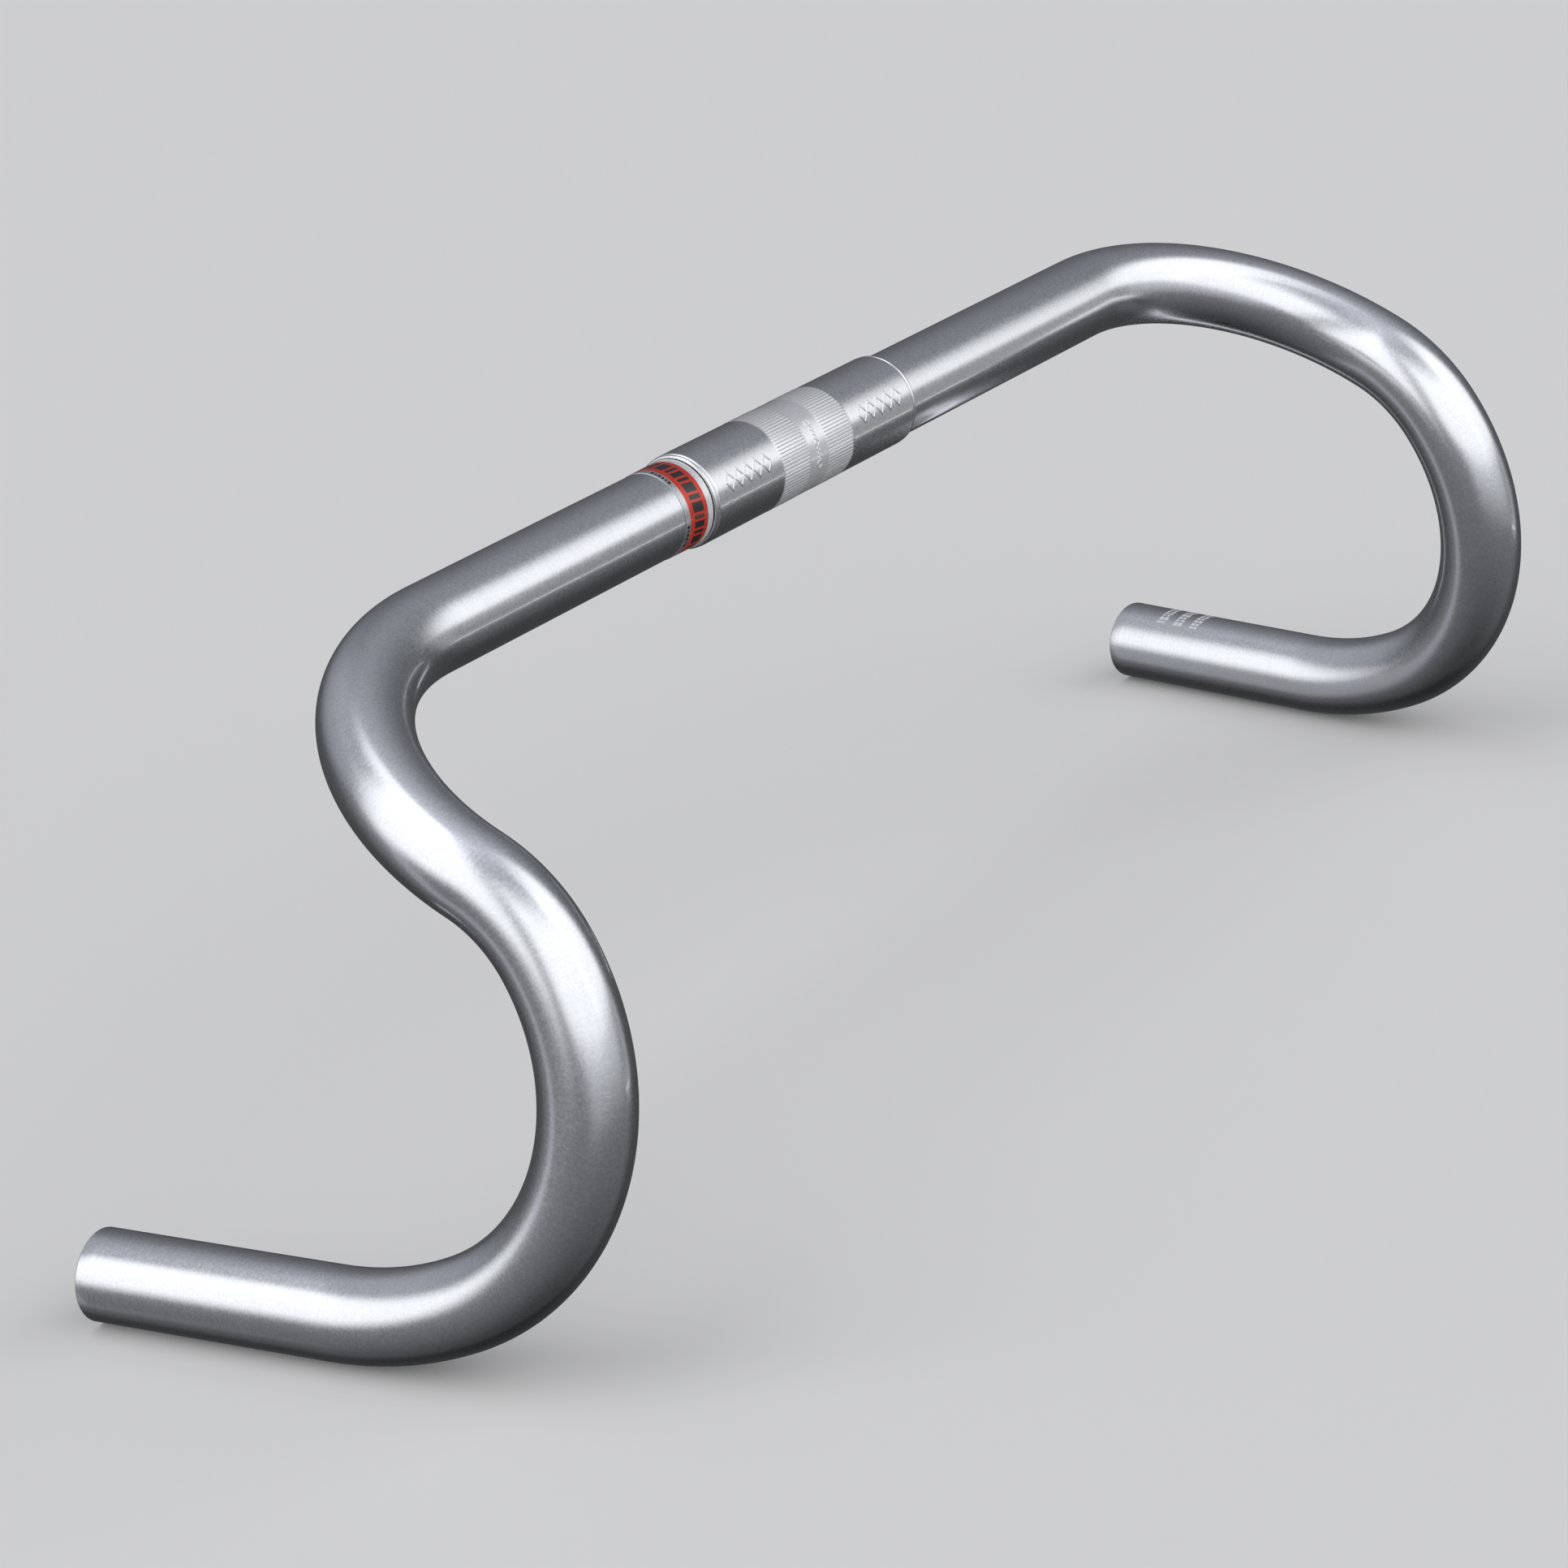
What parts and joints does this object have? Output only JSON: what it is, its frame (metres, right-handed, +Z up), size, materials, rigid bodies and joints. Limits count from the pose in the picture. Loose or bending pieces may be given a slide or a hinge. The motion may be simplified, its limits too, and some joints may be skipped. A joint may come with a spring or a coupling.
{
  "type": "drop handlebar",
  "caption": "Bare drop handlebar in satin silver aluminium: straight tops, sloping ramps, round hooks, flared open-ended drops and a knurled clamp sleeve.",
  "frame": {"origin": "middle of the stem clamp, on the tube's axis", "axes": "X along the tops; -Y forwards, the way the hooks reach; +Y back, the way the open drops point; +Z up, with the straight of the drops level"},
  "size_m": [0.5152, 0.1554, 0.169],
  "materials": {
    "tube": "satin clear anodised, fine grain",
    "sleeve": "satin clear anodised, knurled bands",
    "label": "printed film, red band beside a silver band"
  },
  "bodies": {
    "root": {"bar_tube": "tube", "clamp_sleeve": "sleeve", "label_film": "label"}
  },
  "joints": []
}
